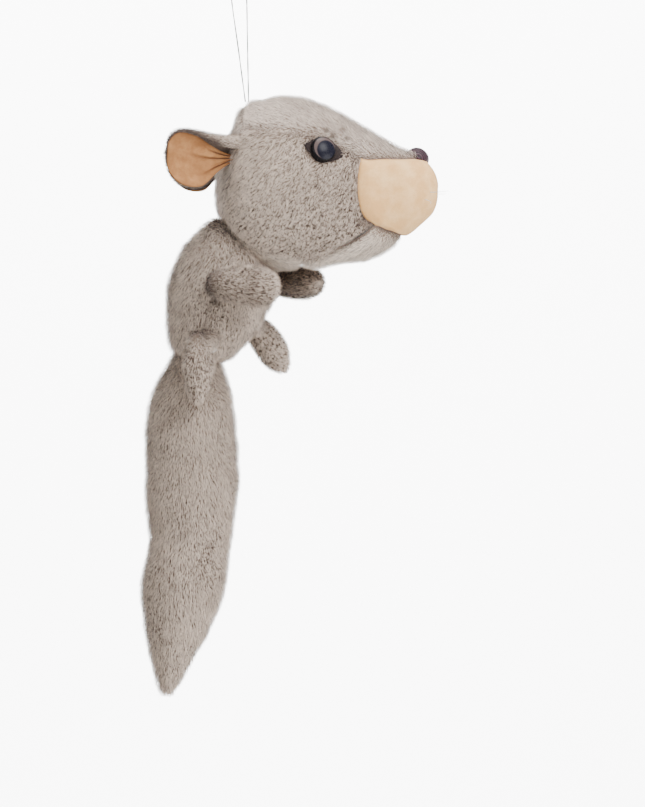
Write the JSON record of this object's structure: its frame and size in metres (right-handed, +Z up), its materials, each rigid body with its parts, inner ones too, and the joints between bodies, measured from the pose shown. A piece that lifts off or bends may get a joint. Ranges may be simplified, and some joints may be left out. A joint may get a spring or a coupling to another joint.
{
  "type": "plush mouse",
  "caption": "Soft plush mouse with grey-beige fur, beige muzzle and ears and a thick tapering tail, hanging by a thin dark cord loop from its crown.",
  "frame": {"origin": "inside top of the cord loop, where a hook holds the toy", "axes": "+X the way the muzzle points, +Y to the toy's left, +Z up"},
  "size_m": [0.2586, 0.1678, 0.5962],
  "materials": {
    "grey_beige_fur": "matte",
    "pale_fur": "matte",
    "beige_velour": "matte",
    "polyester_stuffing": "matte",
    "maroon_satin": "satin",
    "black_eye_plastic": "gloss",
    "dark_felt": "matte",
    "white_washer_plastic": "satin",
    "clear_nylon": "satin",
    "dark_cord": "matte"
  },
  "bodies": {
    "hang_loop": {"hang_loop": "dark_cord"},
    "head": {"chin_panel": "pale_fur", "eye_felt_left": "dark_felt", "eye_felt_right": "dark_felt", "eye_left": "black_eye_plastic", "eye_right": "black_eye_plastic", "eye_washer_left": "white_washer_plastic", "eye_washer_right": "white_washer_plastic", "head_back_panel": "grey_beige_fur", "head_cheek_panel_left": "grey_beige_fur", "head_cheek_panel_right": "grey_beige_fur", "head_forehead_panel": "grey_beige_fur", "head_neck_strip": "pale_fur", "head_stuffing": "polyester_stuffing", "loop_knot": "dark_cord", "muzzle_patch_left": "beige_velour", "muzzle_patch_right": "beige_velour", "nose": "maroon_satin", "nose_washer": "white_washer_plastic", "whisker_left_1": "clear_nylon", "whisker_left_2": "clear_nylon", "whisker_right_1": "clear_nylon", "whisker_right_2": "clear_nylon"},
    "ear_right": {"ear_right_fur_back": "grey_beige_fur", "ear_right_lining": "beige_velour"},
    "ear_left": {"ear_left_fur_back": "grey_beige_fur", "ear_left_lining": "beige_velour"},
    "neck": {"neck_stuffing": "polyester_stuffing"},
    "torso": {"back_panel_left": "grey_beige_fur", "back_panel_right": "grey_beige_fur", "belly_panel": "pale_fur", "torso_stuffing": "polyester_stuffing"},
    "arm_right": {"arm_right_inner_panel": "grey_beige_fur", "arm_right_outer_panel": "grey_beige_fur", "arm_right_stuffing": "polyester_stuffing"},
    "arm_left": {"arm_left_inner_panel": "grey_beige_fur", "arm_left_outer_panel": "grey_beige_fur", "arm_left_stuffing": "polyester_stuffing"},
    "leg_right": {"leg_right_inner_panel": "grey_beige_fur", "leg_right_outer_panel": "grey_beige_fur", "leg_right_stuffing": "polyester_stuffing"},
    "leg_left": {"leg_left_inner_panel": "grey_beige_fur", "leg_left_outer_panel": "grey_beige_fur", "leg_left_stuffing": "polyester_stuffing"},
    "tail_upper": {"tail_upper_panel_left": "grey_beige_fur", "tail_upper_panel_right": "grey_beige_fur", "tail_upper_stuffing": "polyester_stuffing"},
    "tail_middle": {"tail_middle_panel_left": "grey_beige_fur", "tail_middle_panel_right": "grey_beige_fur", "tail_middle_stuffing": "polyester_stuffing"},
    "tail_tip": {"tail_tip_panel_left": "grey_beige_fur", "tail_tip_panel_right": "grey_beige_fur", "tail_tip_stuffing": "polyester_stuffing"}
  },
  "joints": [
    {"name": "loop_swing", "type": "hinge", "parent": "hang_loop", "child": "head", "pos_m": [0.0069, 0, -0.1], "axis": [0, 1, 0], "range_deg": [-35, 35], "stiffness_Nm_per_rad": 0.06, "springref_deg": -10.98},
    {"name": "neck_nod", "type": "hinge", "parent": "head", "child": "neck", "pos_m": [-0.00095, 0, -0.22338], "axis": [0, 1, 0], "range_deg": [-8, 15], "stiffness_Nm_per_rad": 4, "springref_deg": 0.25},
    {"name": "neck_turn", "type": "hinge", "parent": "neck", "child": "torso", "pos_m": [-0.00095, 0, -0.22338], "axis": [-0.7461, 0, -0.6659], "range_deg": [-25, 25], "stiffness_Nm_per_rad": 4},
    {"name": "arm_right_swing", "type": "hinge", "parent": "torso", "child": "arm_right", "pos_m": [-0.01311, -0.06852, -0.25638], "axis": [0.342, 0.9397, 0], "range_deg": [-10, 70], "stiffness_Nm_per_rad": 0.05, "springref_deg": -0.14},
    {"name": "arm_left_swing", "type": "hinge", "parent": "torso", "child": "arm_left", "pos_m": [0.0293, 0.048, -0.24938], "axis": [0.342, 0.9397, 0], "range_deg": [-2, 70], "stiffness_Nm_per_rad": 0.05, "springref_deg": -0.14},
    {"name": "leg_right_swing", "type": "hinge", "parent": "torso", "child": "leg_right", "pos_m": [-0.03318, -0.06228, -0.30638], "axis": [0.342, 0.9397, 0], "range_deg": [-60, 15], "stiffness_Nm_per_rad": 0.05},
    {"name": "leg_left_swing", "type": "hinge", "parent": "torso", "child": "leg_left", "pos_m": [0.01649, 0.05373, -0.29138], "axis": [0.342, 0.9397, 0], "range_deg": [-15, 60], "stiffness_Nm_per_rad": 0.05, "springref_deg": -0.03},
    {"name": "tail_swing", "type": "hinge", "parent": "torso", "child": "tail_upper", "pos_m": [-0.03575, 0, -0.31038], "axis": [0, 1, 0], "range_deg": [-30, 30], "stiffness_Nm_per_rad": 0.4, "springref_deg": 0.37},
    {"name": "tail_sway", "type": "hinge", "parent": "tail_upper", "child": "tail_middle", "pos_m": [-0.04004, 0, -0.39913], "axis": [1, 0, 0], "range_deg": [-28, 28], "stiffness_Nm_per_rad": 0.4},
    {"name": "tail_curl", "type": "hinge", "parent": "tail_middle", "child": "tail_tip", "pos_m": [-0.04409, 0, -0.48498], "axis": [0, 1, 0], "range_deg": [-28, 28], "stiffness_Nm_per_rad": 0.2, "springref_deg": 0.15},
    {"name": "ear_right_fold", "type": "hinge", "parent": "head", "child": "ear_right", "pos_m": [-0.0072, -0.04156, -0.14622], "axis": [0.0164, -0.0451, 0.9988], "range_deg": [-10, 25], "stiffness_Nm_per_rad": 0.02, "springref_deg": -0.01},
    {"name": "ear_left_fold", "type": "hinge", "parent": "head", "child": "ear_left", "pos_m": [-0.0072, 0.04156, -0.14622], "axis": [0.0164, 0.0451, 0.9988], "range_deg": [-25, 10], "stiffness_Nm_per_rad": 0.02, "springref_deg": 0.01}
  ]
}
